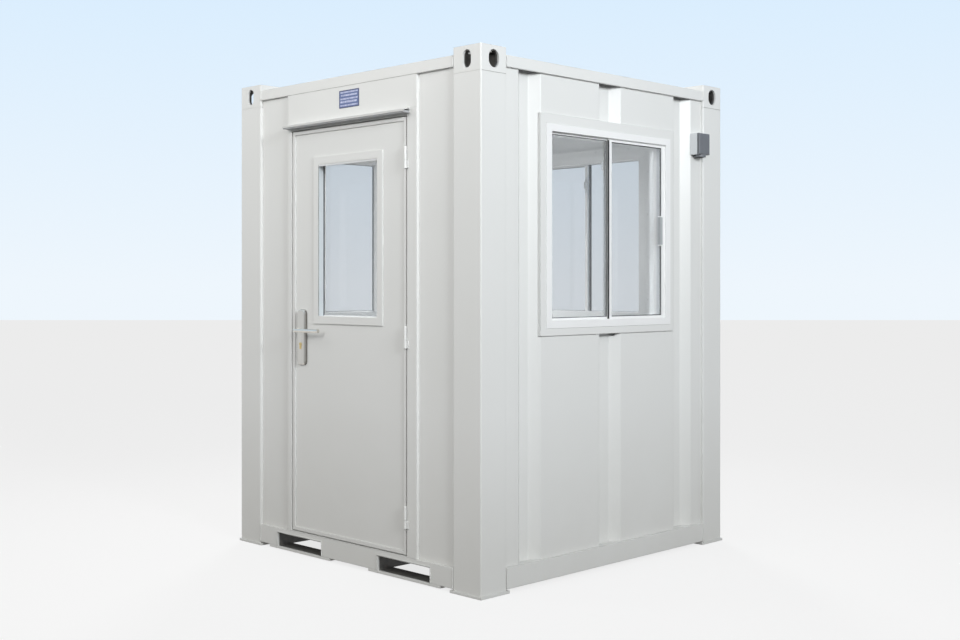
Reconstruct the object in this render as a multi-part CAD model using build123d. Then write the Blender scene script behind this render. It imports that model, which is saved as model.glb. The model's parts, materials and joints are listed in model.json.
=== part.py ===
"""Security guard booth: a small steel cabin built like a very short container.

Four corner posts with lifting castings stand on foot plates and carry top and bottom rails.
Grooved steel sheets with an insulated lining close three sides, each with a sliding window.
The front holds a glazed door that opens outwards on three lift-off hinges.

Frame: millimetres, +Z up, origin on the ground at the centre of the plan.
The door is in the front, which faces -Y. The main window faces +X.
"""

import os
from build123d import *

# ---------------------------------------------------------------------------------------
# Driving dimensions
# ---------------------------------------------------------------------------------------
width = 1829.0  # over the posts, along X
depth = 1829.0  # over the posts, along Y
height = 2438.0  # ground to the top of the castings

# corner posts, foot plates and lifting castings
post_x = 178.0
post_y = 162.0
post_wall = 5.0
post_edge = 4.0  # the bevel on the long edges of posts and castings
foot_thickness = 12.0
foot_lip_out = 6.0
foot_lip_in = 14.0
casting_height = 118.0
casting_wall = 22.0
casting_slot_height = 80.0
casting_front_slot = 51.0
casting_side_slot = 63.5
casting_top_slot_x = 124.0
casting_top_slot_y = 63.5

# base
bottom_rail_base = 18.0
bottom_rail_height = 94.0
bottom_rail_width = 60.0
rail_wall = 4.0
deck_thickness = 19.0
bearer_width = 50.0
bearer_post_gap = 20.0
pocket_spacing = 802.0
pocket_width = 365.0
pocket_height = 70.0
pocket_wall = 5.0
strap_length = 505.0
strap_depth = 100.0
strap_thickness = 12.0

# roof
casting_rise = 35.0  # the castings stand this much above the top rails
top_rail_height = 50.0
top_rail_width = 60.0
roof_sheet = 3.0
roof_inset = 4.0
roof_slope_out = 110.0
roof_slope_in = 170.0
roof_crown = 18.0
ceiling_drop = 103.0  # from the foot of the top rails to the ceiling
ceiling_thickness = 12.0

# walls
wall_recess = 15.0
wall_sheet = 2.0
groove_mouth = 150.0
middle_groove_mouth = 165.0
groove_slope = 45.0  # the width of each sloping side
groove_depth = 40.0
groove_spacing = 585.0
groove_bend_r = 8.0
lining_thickness = 30.0
surround_notch = 14.0

# sliding windows: a fixed pane on the left and a sliding sash on the right, from outside
window_width = 950.0
window_height = 950.0
window_drop = 227.0  # from the foot of the top rails to the window's top
window_shift = -8.0  # the window sits this much left of the wall's middle, from outside
frame_side_face = 38.0
frame_head_face = 33.0
frame_sill_face = 36.0
frame_front = 3.0  # behind the post faces
frame_lip_front = 28.0
frame_lip = 10.0
frame_back = 75.0
surround_left = 37.0
surround_right = 28.0
surround_bottom = 35.0
surround_top = 45.0
surround_front = 6.0
stile_width = 18.0
fixed_stile_depth = 22.0
fixed_glass_front = 30.0
glass_thickness = 6.0
sash_front = 11.0
sash_depth = 16.0
sash_far_stile = 28.0
sash_top_rail = 16.0
sash_bottom_rail = 11.0
sash_rebate_height = 8.0
sash_rebate_depth = 9.0
pull_length = 150.0
pull_width = 34.0
pull_lap = 5.0
pull_stand = 12.0

# doorway and door
door_zone_width = 989.0
latch_jamb = 32.0
hinge_jamb = 66.0
head_height = 32.0
sill_thickness = 4.0
header_height = 155.0  # from the door frame's head to the foot of the top rails
leaf_recess = 3.0
leaf_thickness = 45.0
leaf_border = 18.0
panel_recess = 6.0  # the leaf's middle lies this much behind its border
edge_gap = 5.0
latch_gap = 7.2
hinge_gap = 9.0
stop_gap = 6.0
stop_width = 15.0
door_glass_width = 453.0
door_glass_height = 759.0
door_glass_drop = 180.0  # from the leaf's top to the glass
trim_face = 40.0
trim_proud = 6.0
trim_sleeve = 6.0
door_glass_depth = 36.0
drip_rise = 10.0  # from the doorway's top to the rail's foot
drip_latch_over = 24.0
drip_hinge_over = 20.0
drip_height = 24.0
drip_reach = 42.0
drip_thickness = 3.0
drip_fall = 10.0
drip_lip = 9.0

# lift-off hinges
hinge_low_gap = 122.0  # from the leaf's foot to the lowest hinge
hinge_high_gap = 137.0  # from the leaf's top to the highest hinge
hinge_pin_r = 5.0
hinge_clearance = 0.05
hinge_barrel_r = 7.5
hinge_axis_inset = 6.5  # from the jamb's edge towards the leaf
hinge_axis_proud = 9.0  # in front of the leaf's border
frame_barrel = 40.0
leaf_barrel = 66.0
barrel_gap = 0.5
pin_reach = 55.0
hinge_tab = 5.0
hinge_tab_lap = 12.0
hinge_weld = 10.0
barrel_end = 2.0

# lever handle and lock
plate_width = 68.0
plate_height = 279.0
plate_thickness = 16.0
plate_corner_r = 20.0
plate_bevel = 5.0
plate_base = 971.0
handle_backset = 77.0  # handle axis from the leaf's latch edge
lever_height = 1147.0
lever_neck_r = 10.5
lever_clearance = 0.05
lever_r = 9.5
lever_stand = 43.0
lever_length = 180.0
lever_bend = 12.0
lever_return = 24.0
spindle_size = 8.0
spindle_hole_r = 15.0
cylinder_height = 1076.0
cylinder_r = 8.5
cylinder_tongue = 10.0
cylinder_drop = 24.5
cylinder_proud = 3.0
cylinder_clearance = 0.3

# power inlet
inlet_width = 93.0
inlet_height = 111.0
inlet_drop = 180.0  # from the foot of the top rails to the inlet's top
inlet_body_depth = 45.0
inlet_cover_depth = 16.0
inlet_post_gap = 4.0
inlet_corner_r = 6.0
socket_r = 30.0
socket_wall = 5.0
socket_drop = 12.0
socket_length = 52.0
socket_clearance = 0.3

# ---------------------------------------------------------------------------------------
# Sizes that follow from the driving dimensions
# ---------------------------------------------------------------------------------------
half_x = width / 2
half_y = depth / 2
run_x = width - 2 * post_x  # between the posts along X
run_y = depth - 2 * post_y  # between the posts along Y
floor_level = bottom_rail_base + bottom_rail_height
top_rail_top = height - casting_rise
top_rail_base = top_rail_top - top_rail_height
lining_front = wall_recess + groove_depth + wall_sheet
wall_depth = lining_front + lining_thickness
ceiling_height = top_rail_base - ceiling_drop
window_top = top_rail_base - window_drop
window_sill = window_top - window_height
window_left = window_shift - window_width / 2
window_right = window_shift + window_width / 2
sash_left = window_shift - stile_width / 2
sash_right = window_right - frame_side_face
sash_base = window_sill + frame_sill_face
sash_top = window_top - frame_head_face
sash_opening_x = (sash_left + stile_width, sash_right - sash_far_stile)
sash_opening_z = (sash_base + sash_bottom_rail, sash_top - sash_top_rail)
pocket_roof = bottom_rail_base + pocket_height + pocket_wall

doorway_hinge_x = door_zone_width / 2 - hinge_jamb
doorway_latch_x = -door_zone_width / 2 + latch_jamb
doorway_base = floor_level + sill_thickness
doorway_top = top_rail_base - header_height - head_height
leaf_hinge_x = doorway_hinge_x - hinge_gap
leaf_latch_x = doorway_latch_x + latch_gap
leaf_base = doorway_base + edge_gap
leaf_top = doorway_top - edge_gap
leaf_back = leaf_recess + leaf_thickness
panel_face = leaf_recess + panel_recess
stop_front = leaf_back + stop_gap
door_glass_x = (leaf_hinge_x + leaf_latch_x) / 2
door_glass_mid = leaf_top - door_glass_drop - door_glass_height / 2
hinge_x = doorway_hinge_x - hinge_axis_inset
hinge_y = leaf_recess - hinge_axis_proud
hinge_height = frame_barrel + barrel_gap + leaf_barrel
hinge_low = leaf_base + hinge_low_gap
hinge_high = leaf_top - hinge_high_gap - hinge_height
hinge_bases = [hinge_low, (hinge_low + hinge_high) / 2, hinge_high]
handle_x = leaf_latch_x + handle_backset
plate_mid = plate_base + plate_height / 2


# ---------------------------------------------------------------------------------------
# Helpers
# ---------------------------------------------------------------------------------------
def block(x0, x1, y0, y1, z0, z1):
    """A box between two corners."""
    centre = Pos((x0 + x1) / 2, (y0 + y1) / 2, (z0 + z1) / 2)
    return centre * Box(x1 - x0, y1 - y0, z1 - z0)


def ring(outer_x, inner_x, y0, y1, outer_z, inner_z):
    """A rectangular frame that stands in a wall: outer limits less inner limits."""
    outer = block(outer_x[0], outer_x[1], y0, y1, outer_z[0], outer_z[1])
    inner = block(inner_x[0], inner_x[1], y0 - 1, y1 + 1, inner_z[0], inner_z[1])
    return outer - inner


def box_rail(length, across, tall, wall):
    """A rectangular hollow section along X, centred on its own middle."""
    return Box(length, across, tall) - Box(length + 2, across - 2 * wall, tall - 2 * wall)


# A wall is drawn in its own frame: x along the wall, y inwards from the post faces, z up.
side_frames = {
    "front": Pos(0, -half_y, 0),
    "right": Pos(half_x, 0, 0) * Rot(0, 0, 90),
    "back": Pos(0, half_y, 0) * Rot(0, 0, 180),
    "left": Pos(-half_x, 0, 0) * Rot(0, 0, -90),
}
side_runs = {"front": run_x, "right": run_y, "back": run_x, "left": run_y}
corners = {
    "front_left": (-1, -1),
    "front_right": (1, -1),
    "back_left": (-1, 1),
    "back_right": (1, 1),
}
parts = {}


# ---------------------------------------------------------------------------------------
# Corners: foot plates, posts and lifting castings
# ---------------------------------------------------------------------------------------
def foot_plate(sx, sy):
    """A plate a little larger than its post, on the ground."""
    size_x = post_x + foot_lip_out + foot_lip_in
    size_y = post_y + foot_lip_out + foot_lip_in
    x = sx * (half_x + foot_lip_out - size_x / 2)
    y = sy * (half_y + foot_lip_out - size_y / 2)
    return Pos(x, y, foot_thickness / 2) * Box(size_x, size_y, foot_thickness)


def corner_post(sx, sy):
    """A square-cut hollow post with bevelled long edges."""
    tall = height - casting_height - foot_thickness
    outer = Box(post_x, post_y, tall)
    outer = chamfer(outer.edges().filter_by(Axis.Z), post_edge)
    inner = Box(post_x - 2 * post_wall, post_y - 2 * post_wall, tall + 2)
    x = sx * (half_x - post_x / 2)
    y = sy * (half_y - post_y / 2)
    return Pos(x, y, foot_thickness + tall / 2) * (outer - inner)


def corner_casting(sx, sy):
    """A hollow casting with a slot in its top and in its two outer faces."""
    body = Box(post_x, post_y, casting_height)
    body = chamfer(body.edges().filter_by(Axis.Z), post_edge)
    body -= Box(
        post_x - 2 * casting_wall,
        post_y - 2 * casting_wall,
        casting_height - 2 * casting_wall,
    )
    front = extrude(
        Plane.XZ * SlotOverall(casting_slot_height, casting_front_slot, rotation=90), post_y
    )
    body -= Pos(0, 0 if sy < 0 else post_y, 0) * front
    side = extrude(
        Plane.YZ * SlotOverall(casting_slot_height, casting_side_slot, rotation=90), post_x
    )
    body -= Pos(0 if sx > 0 else -post_x, 0, 0) * side
    top = extrude(SlotOverall(casting_top_slot_x, casting_top_slot_y), casting_height)
    body -= top
    x = sx * (half_x - post_x / 2)
    y = sy * (half_y - post_y / 2)
    return Pos(x, y, height - casting_height / 2) * body


parts["foot_plates"] = Compound([foot_plate(sx, sy) for sx, sy in corners.values()])
for corner, (sx, sy) in corners.items():
    parts[f"{corner}_post"] = corner_post(sx, sy)
    parts[f"{corner}_casting"] = corner_casting(sx, sy)


# ---------------------------------------------------------------------------------------
# Base: rails, fork pockets, bearers and deck
# ---------------------------------------------------------------------------------------
def pocket_centres():
    return [("left", -pocket_spacing / 2), ("right", pocket_spacing / 2)]


def pocket_outer(x, extra=0.0):
    """The outside of one fork pocket, as it passes through the rails."""
    half = pocket_width / 2 + pocket_wall
    return block(x - half, x + half, -half_y, half_y, bottom_rail_base - extra, pocket_roof)


def fork_pocket(x):
    """An open-bottomed channel from front to back, with a strap under each mouth."""
    half = pocket_width / 2
    inner_top = pocket_roof - pocket_wall
    channel = pocket_outer(x)
    channel -= block(x - half, x + half, -half_y, half_y, bottom_rail_base, inner_top)
    for sy in (-1, 1):
        y = sy * (half_y - strap_depth / 2)
        z = bottom_rail_base - strap_thickness / 2
        channel += Pos(x, y, z) * Box(strap_length, strap_depth, strap_thickness)
    return channel


def bottom_rail(side):
    """A hollow rail between two posts, cut out where the fork pockets pass."""
    rail = box_rail(side_runs[side], bottom_rail_width, bottom_rail_height, rail_wall)
    seat = Pos(0, bottom_rail_width / 2, floor_level - bottom_rail_height / 2)
    rail = side_frames[side] * seat * rail
    if side in ("front", "back"):
        for _, x in pocket_centres():
            rail -= pocket_outer(x, extra=1)
    return rail


def floor_deck():
    """The deck between the rails, notched round the posts."""
    deck = Box(width - 2 * bottom_rail_width, depth - 2 * bottom_rail_width, deck_thickness)
    deck = Pos(0, 0, floor_level - deck_thickness / 2) * deck
    return deck - post_columns(floor_level - deck_thickness, floor_level)


def post_columns(z0, z1):
    """The plan of all four posts, to cut plates that fit round them."""
    columns = []
    for sx, sy in corners.values():
        x = sx * (half_x - post_x / 2)
        y = sy * (half_y - post_y / 2)
        columns.append(Pos(x, y, (z0 + z1) / 2) * Box(post_x, post_y, z1 - z0 + 2))
    return columns


def floor_bearers():
    """Bearers under the deck, beside and between the fork pockets."""
    tall = floor_level - deck_thickness - bottom_rail_base
    length = depth - 2 * bottom_rail_width
    z = bottom_rail_base + tall / 2
    outer = run_x / 2 - bearer_post_gap - bearer_width / 2
    bearer = Rot(0, 0, 90) * box_rail(length, bearer_width, tall, rail_wall)
    return Compound([Pos(x, 0, z) * bearer for x in (-outer, 0, outer)])


for side in side_frames:
    parts[f"{side}_bottom_rail"] = bottom_rail(side)
for name, x in pocket_centres():
    parts[f"{name}_fork_pocket"] = fork_pocket(x)
parts["floor_bearers"] = floor_bearers()
parts["floor_deck"] = floor_deck()


# ---------------------------------------------------------------------------------------
# Roof: rails, crowned sheet and ceiling
# ---------------------------------------------------------------------------------------
def top_rail(side):
    rail = box_rail(side_runs[side], top_rail_width, top_rail_height, rail_wall)
    seat = Pos(0, top_rail_width / 2, top_rail_top - top_rail_height / 2)
    return side_frames[side] * seat * rail


def crown(z):
    """The raised middle of the roof sheet, from its foot at z."""
    low = Rectangle(width - 2 * roof_slope_out, depth - 2 * roof_slope_out)
    high = Rectangle(width - 2 * roof_slope_in, depth - 2 * roof_slope_in)
    return loft([Pos(0, 0, z) * low, Pos(0, 0, z + roof_crown) * high])


def roof_panel():
    """A thin sheet on the rails, with a shallow crown that sheds water."""
    edge = Box(width - 2 * roof_inset, depth - 2 * roof_inset, roof_sheet)
    sheet = Pos(0, 0, top_rail_top + roof_sheet / 2) * edge
    sheet += crown(top_rail_top + roof_sheet)
    sheet -= crown(top_rail_top)
    return sheet - post_columns(top_rail_top, height)


def ceiling_panel():
    """The ceiling on top of the linings, notched round the posts."""
    panel = block(
        -half_x + lining_front,
        half_x - lining_front,
        -half_y + wall_depth,
        half_y - lining_front,
        ceiling_height,
        ceiling_height + ceiling_thickness,
    )
    return panel - post_columns(ceiling_height, ceiling_height + ceiling_thickness)


for side in side_frames:
    parts[f"{side}_top_rail"] = top_rail(side)
parts["roof_panel"] = roof_panel()
parts["ceiling_panel"] = ceiling_panel()


# ---------------------------------------------------------------------------------------
# Walls
# ---------------------------------------------------------------------------------------
def groove_points(run, shift):
    """The corners of the grooved sheet's outer face in plan, moved inwards by shift."""
    flat = wall_recess + shift
    deep = flat + groove_depth
    grooves = [
        (-groove_spacing, groove_mouth / 2),
        (window_shift, middle_groove_mouth / 2),
        (groove_spacing, groove_mouth / 2),
    ]
    points = [(-run / 2, flat)]
    for centre, half in grooves:
        points.append((centre - half, flat))
        points.append((centre - half + groove_slope, deep))
        points.append((centre + half - groove_slope, deep))
        points.append((centre + half, flat))
    points.append((run / 2, flat))
    return points


def grooved_sheet(run):
    """A steel sheet with three pressed grooves, cut out for the window surround."""
    outer = FilletPolyline(*groove_points(run, 0), radius=groove_bend_r)
    inner = Polyline(*groove_points(run, wall_sheet))
    left = Line(outer @ 0, inner @ 0)
    right = Line(outer @ 1, inner @ 1)
    plan = make_face([outer, right, inner, left])
    sheet = Pos(0, 0, floor_level) * extrude(plan, top_rail_base - floor_level)
    xs, zs = surround_limits()
    sheet -= block(xs[0], xs[1], 0, wall_depth, zs[0], zs[1])
    half = middle_groove_mouth / 2
    notch_front = wall_recess + groove_depth / 2
    sheet -= block(
        window_shift - half,
        window_shift + half,
        notch_front,
        wall_depth,
        zs[0] - surround_notch,
        zs[0],
    )
    return sheet


def surround_limits():
    """The outer edges of the window's steel surround, along the wall and in height."""
    xs = (window_left - surround_left, window_right + surround_right)
    zs = (window_sill - surround_bottom, window_top + surround_top)
    return xs, zs


def wall_lining(run):
    """The insulated inner panel behind the sheet, with the window's opening."""
    panel = block(-run / 2, run / 2, lining_front, wall_depth, floor_level, ceiling_height)
    return panel - block(
        window_left, window_right, 0, wall_depth + 1, window_sill, window_top
    )


def front_side_panel(sign):
    """The flat panel between a corner post and the door frame."""
    x = sorted((sign * door_zone_width / 2, sign * run_x / 2))
    return block(x[0], x[1], wall_recess, wall_depth, floor_level, top_rail_base)


def front_header():
    """The panel over the door, flush with the posts."""
    half = door_zone_width / 2
    return block(-half, half, 0, wall_depth, doorway_top + head_height, top_rail_base)


for side in ("right", "back", "left"):
    parts[f"{side}_wall_sheet"] = side_frames[side] * grooved_sheet(side_runs[side])
    parts[f"{side}_wall_lining"] = side_frames[side] * wall_lining(side_runs[side])
parts["front_left_wall"] = side_frames["front"] * front_side_panel(-1)
parts["front_right_wall"] = side_frames["front"] * front_side_panel(1)
parts["front_header"] = side_frames["front"] * front_header()


# ---------------------------------------------------------------------------------------
# Sliding windows: a welded surround, a frame, a fixed pane and a sliding sash
# ---------------------------------------------------------------------------------------
def window_surround():
    """The steel frame welded into the cut-out of the sheet."""
    xs, zs = surround_limits()
    inner_x = (window_left, window_right)
    inner_z = (window_sill, window_top)
    return ring(xs, inner_x, surround_front, lining_front, zs, inner_z)


def window_frame():
    """The outer frame: a track for the sash, a lip behind it and the fixed pane's stile."""
    outer_x = (window_left, window_right)
    outer_z = (window_sill, window_top)
    track_x = (window_left + frame_side_face, window_right - frame_side_face)
    track_z = (sash_base, sash_top)
    lip_x = (track_x[0] + frame_lip, track_x[1] - frame_lip)
    lip_z = (track_z[0] + frame_lip, track_z[1] - frame_lip)
    frame = ring(outer_x, track_x, frame_front, frame_lip_front, outer_z, track_z)
    frame += ring(outer_x, lip_x, frame_lip_front, frame_back, outer_z, lip_z)
    frame += block(
        sash_left,
        sash_left + stile_width,
        frame_lip_front,
        frame_lip_front + fixed_stile_depth,
        lip_z[0],
        lip_z[1],
    )
    return frame


def window_sash():
    """The sliding sash in front of the fixed pane, with its rebated top and its pull."""
    sash = ring(
        (sash_left, sash_right),
        sash_opening_x,
        sash_front,
        sash_front + sash_depth,
        (sash_base, sash_top),
        sash_opening_z,
    )
    sash -= block(
        sash_left - 1,
        sash_right + 1,
        sash_front - 1,
        sash_front + sash_rebate_depth,
        sash_top - sash_rebate_height,
        sash_top + 1,
    )
    pull_x = sash_opening_x[1] + pull_lap - pull_width / 2
    pull_z = (sash_base + sash_top) / 2
    pull = Pos(pull_x, sash_front - pull_stand / 2, pull_z) * Box(
        pull_width, pull_stand, pull_length
    )
    return sash + pull


def window_glass():
    """The fixed pane in the frame and the pane in the sash."""
    fixed = block(
        window_left + frame_side_face + frame_lip,
        sash_left,
        fixed_glass_front,
        fixed_glass_front + glass_thickness,
        sash_base + frame_lip,
        sash_top - frame_lip,
    )
    pane_front = sash_front + (sash_depth - glass_thickness) / 2
    sliding = block(
        sash_opening_x[0],
        sash_opening_x[1],
        pane_front,
        pane_front + glass_thickness,
        sash_opening_z[0],
        sash_opening_z[1],
    )
    return Compound([fixed, sliding])


for side in ("right", "back", "left"):
    parts[f"{side}_window_surround"] = side_frames[side] * window_surround()
    parts[f"{side}_window_frame"] = side_frames[side] * window_frame()
    parts[f"{side}_window_sash"] = side_frames[side] * window_sash()
    parts[f"{side}_window_glass"] = side_frames[side] * window_glass()


# ---------------------------------------------------------------------------------------
# Door frame, drip rail and door leaf, in the front wall's frame
# ---------------------------------------------------------------------------------------
def door_frame():
    """Jambs, head and sill in one welded frame, with the stop that the leaf closes to."""
    half = door_zone_width / 2
    frame = ring(
        (-half, half),
        (doorway_latch_x, doorway_hinge_x),
        0,
        wall_depth,
        (floor_level, doorway_top + head_height),
        (doorway_base, doorway_top),
    )
    frame += ring(
        (doorway_latch_x, doorway_hinge_x),
        (doorway_latch_x + stop_width, doorway_hinge_x - stop_width),
        stop_front,
        wall_depth,
        (doorway_base, doorway_top),
        (doorway_base - 1, doorway_top - stop_width),
    )
    return frame


def drip_rail():
    """A bent strip over the door that throws rain clear of the leaf."""
    base = doorway_top + drip_rise
    t = drip_thickness
    outline = Polyline(
        (0, base),
        (0, base + drip_height),
        (-t, base + drip_height),
        (-drip_reach, base + drip_height - drip_fall),
        (-drip_reach, base + drip_height - drip_fall - drip_lip),
        (-drip_reach + t, base + drip_height - drip_fall - drip_lip),
        (-drip_reach + t, base + drip_height - drip_fall - t),
        (-t, base + drip_height - t - 1),
        (-t, base),
        close=True,
    )
    start = doorway_latch_x - drip_latch_over
    length = doorway_hinge_x + drip_hinge_over - start
    return Pos(start, 0, 0) * extrude(Plane.YZ * make_face(outline), length)


def lock_profile(clearance):
    """The keyhole outline of a profile cylinder, as a prism through the door."""
    y0 = panel_face - plate_thickness - cylinder_proud
    y1 = leaf_back + plate_thickness + cylinder_proud
    round_part = Pos(handle_x, (y0 + y1) / 2, cylinder_height) * Rot(90, 0, 0) * Cylinder(
        cylinder_r + clearance, y1 - y0
    )
    tongue_half = cylinder_tongue / 2 + clearance
    low = cylinder_height - cylinder_drop - clearance
    tongue = block(
        handle_x - tongue_half, handle_x + tongue_half, y0, y1, low, cylinder_height
    )
    return round_part + tongue


def cross_hole(x, y0, y1, z, radius):
    """A round bar along Y, to drill with or to fuse."""
    return Pos(x, (y0 + y1) / 2, z) * Rot(90, 0, 0) * Cylinder(radius, y1 - y0)


def door_glass_limits(margin):
    half_w = door_glass_width / 2 + margin
    half_h = door_glass_height / 2 + margin
    xs = (door_glass_x - half_w, door_glass_x + half_w)
    zs = (door_glass_mid - half_h, door_glass_mid + half_h)
    return xs, zs


def door_leaf():
    """The steel-faced leaf with a raised border, cut for the glazing and the lock."""
    leaf = block(leaf_latch_x, leaf_hinge_x, leaf_recess, leaf_back, leaf_base, leaf_top)
    leaf -= block(
        leaf_latch_x + leaf_border,
        leaf_hinge_x - leaf_border,
        leaf_recess - 1,
        panel_face,
        leaf_base + leaf_border,
        leaf_top - leaf_border,
    )
    xs, zs = door_glass_limits(trim_sleeve)
    leaf -= block(xs[0], xs[1], leaf_recess - 1, leaf_back + 1, zs[0], zs[1])
    leaf -= cross_hole(handle_x, leaf_recess - 1, leaf_back + 1, lever_height, spindle_hole_r)
    return leaf - lock_profile(cylinder_clearance)


def door_trim(face, glass_side, proud_side):
    """A flat border on the leaf with a sleeve that reaches in to the glass."""
    inner = door_glass_limits(0)
    sleeve = door_glass_limits(trim_sleeve)
    border = door_glass_limits(trim_face)
    y = sorted((face, proud_side))
    trim = ring(border[0], inner[0], y[0], y[1], border[1], inner[1])
    y = sorted((face, glass_side))
    trim += ring(sleeve[0], inner[0], y[0], y[1], sleeve[1], inner[1])
    return trim


def door_glass():
    xs, zs = door_glass_limits(trim_sleeve)
    front = leaf_recess + door_glass_depth
    return block(xs[0], xs[1], front, front + glass_thickness, zs[0], zs[1])


front = side_frames["front"]
glass_front = leaf_recess + door_glass_depth
parts["door_frame"] = front * door_frame()
parts["drip_rail"] = front * drip_rail()
parts["door_leaf"] = front * door_leaf()
parts["door_outer_trim"] = front * door_trim(
    panel_face, glass_front, panel_face - trim_proud
)
parts["door_inner_trim"] = front * door_trim(
    leaf_back, glass_front + glass_thickness, leaf_back + trim_proud
)
parts["door_glass"] = front * door_glass()


# ---------------------------------------------------------------------------------------
# Lift-off hinges: a pinned barrel on the jamb and a bored barrel on the leaf
# ---------------------------------------------------------------------------------------
def rod(z0, z1, radius):
    """A round bar along the hinge axis."""
    return Pos(hinge_x, hinge_y, (z0 + z1) / 2) * Cylinder(radius, z1 - z0)


def frame_hinge(base):
    """The lower half: a bevelled barrel welded to the face of the jamb, with the pin."""
    barrel = rod(base, base + frame_barrel, hinge_barrel_r)
    barrel = chamfer(barrel.edges().sort_by(Axis.Z)[0], barrel_end)
    tab = block(
        hinge_x,
        doorway_hinge_x + hinge_tab_lap,
        -hinge_tab,
        0,
        base + barrel_end,
        base + frame_barrel,
    )
    pin = rod(base + frame_barrel - 1, base + frame_barrel + barrel_gap + pin_reach, hinge_pin_r)
    return barrel + tab + pin


def leaf_hinge(base):
    """The upper half: a bored barrel that lifts off the pin, welded to the leaf."""
    low = base + frame_barrel + barrel_gap
    barrel = rod(low, low + leaf_barrel, hinge_barrel_r)
    barrel = chamfer(barrel.edges().sort_by(Axis.Z)[-1], barrel_end)
    barrel += block(
        leaf_hinge_x - hinge_weld,
        leaf_hinge_x,
        hinge_y,
        leaf_recess,
        low,
        low + leaf_barrel - barrel_end,
    )
    return barrel - rod(low - 1, low + pin_reach + barrel_gap, hinge_pin_r + hinge_clearance)


parts["frame_hinges"] = front * Compound([frame_hinge(base) for base in hinge_bases])
parts["leaf_hinges"] = front * Compound([leaf_hinge(base) for base in hinge_bases])


# ---------------------------------------------------------------------------------------
# Handle plates, levers on one spindle, and the lock cylinder
# ---------------------------------------------------------------------------------------
def handle_plate(face, away):
    """A long plate with a bevelled front, bored for the lever's neck and the lock."""
    front_y = face + away * plate_thickness
    plate = Pos(handle_x, (face + front_y) / 2, plate_mid) * Box(
        plate_width, plate_thickness, plate_height
    )
    plate = fillet(plate.edges().filter_by(Axis.Y), plate_corner_r)
    rim = plate.faces().sort_by(Axis.Y)[0 if away < 0 else -1]
    plate = chamfer(rim.edges(), plate_bevel)
    y = sorted((face - away, front_y + away))
    bore = lever_neck_r + lever_clearance
    plate -= cross_hole(handle_x, y[0], y[1], lever_height, bore)
    return plate - lock_profile(cylinder_clearance)


def lever(plate_face, away):
    """A round lever: out from the plate, along it, and back at its end, with cut bends."""
    stand = plate_face + away * lever_stand
    near = plate_face + away * (lever_stand - lever_bend)
    end_x = handle_x + lever_length - lever_r
    path = Polyline(
        (handle_x, plate_face, lever_height),
        (handle_x, near, lever_height),
        (handle_x + lever_bend, stand, lever_height),
        (end_x - lever_bend, stand, lever_height),
        (end_x, near, lever_height),
        (end_x, near - away * (lever_return - lever_bend), lever_height),
    )
    section = Plane(origin=path @ 0, z_dir=path % 0) * Circle(lever_r)
    grip = sweep(section, path, transition=Transition.RIGHT)
    y = sorted((plate_face - away * plate_thickness, plate_face + away * plate_thickness))
    return grip + cross_hole(handle_x, y[0], y[1], lever_height, lever_neck_r)


def lever_handle():
    """Both levers on the square spindle that turns them together."""
    outer_face = panel_face - plate_thickness
    inner_face = leaf_back + plate_thickness
    half = spindle_size / 2
    spindle = block(
        handle_x - half,
        handle_x + half,
        outer_face,
        inner_face,
        lever_height - half,
        lever_height + half,
    )
    return lever(outer_face, -1) + spindle + lever(inner_face, 1)


parts["outer_handle_plate"] = front * handle_plate(panel_face, -1)
parts["inner_handle_plate"] = front * handle_plate(leaf_back, 1)
parts["lever_handle"] = front * lever_handle()
parts["lock_cylinder"] = front * lock_profile(0)


# ---------------------------------------------------------------------------------------
# Power inlet, in the right wall's frame
# ---------------------------------------------------------------------------------------
inlet_x1 = run_y / 2 - inlet_post_gap
inlet_x0 = inlet_x1 - inlet_width
inlet_mid_x = (inlet_x0 + inlet_x1) / 2
inlet_top = top_rail_base - inlet_drop
inlet_base = inlet_top - inlet_height
inlet_body_front = wall_recess - inlet_body_depth
socket_y = wall_recess - (inlet_body_depth + inlet_cover_depth) / 2


def inlet_body():
    """The box on the wall, bored from below for the socket."""
    box = block(
        inlet_x0, inlet_x1, inlet_body_front, wall_recess, inlet_base, inlet_top
    )
    return box - socket_bar(socket_r + socket_clearance)


def inlet_cover():
    """The front cover, with rounded corners."""
    front_face = inlet_body_front - inlet_cover_depth
    cover = block(inlet_x0, inlet_x1, front_face, inlet_body_front, inlet_base, inlet_top)
    cover = fillet(cover.edges().group_by(Axis.Y)[0], inlet_corner_r)
    return cover - socket_bar(socket_r + socket_clearance)


def socket_bar(radius):
    z0 = inlet_base - socket_drop
    return Pos(inlet_mid_x, socket_y, z0 + socket_length / 2) * Cylinder(radius, socket_length)


def inlet_socket():
    """The round collar under the box, closed at its top."""
    bore = Pos(0, 0, -socket_wall) * socket_bar(socket_r - socket_wall)
    return socket_bar(socket_r) - bore


right = side_frames["right"]
parts["power_inlet_box"] = right * inlet_body()
parts["power_inlet_cover"] = right * inlet_cover()
parts["power_inlet_socket"] = right * inlet_socket()


# ---------------------------------------------------------------------------------------
# One STEP file for each piece
# ---------------------------------------------------------------------------------------
os.makedirs("parts", exist_ok=True)
for name, shape in parts.items():
    export_step(shape, f"parts/{name}.step")
print(len(parts), "pieces")
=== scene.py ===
# %% [markdown]
# # A small steel guard booth
#
# The booth is a steel cabin built like a very short shipping container: four corner posts
# with lifting castings, grooved sheet walls, three sliding windows and a glazed door. Its
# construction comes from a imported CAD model. This notebook gives every part its finish and
# adds what a builder sees up close: seals, screws, weld beads and a label.
#
# Everything is in metres, +Z up. The door faces -Y and the main window +X. The CAD parts
# never move: we only dress them.

# %% Load the CAD model
import json
from math import cos, radians, sin, sqrt

import bpy
import bmesh
from mathutils import Matrix, Vector


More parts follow.
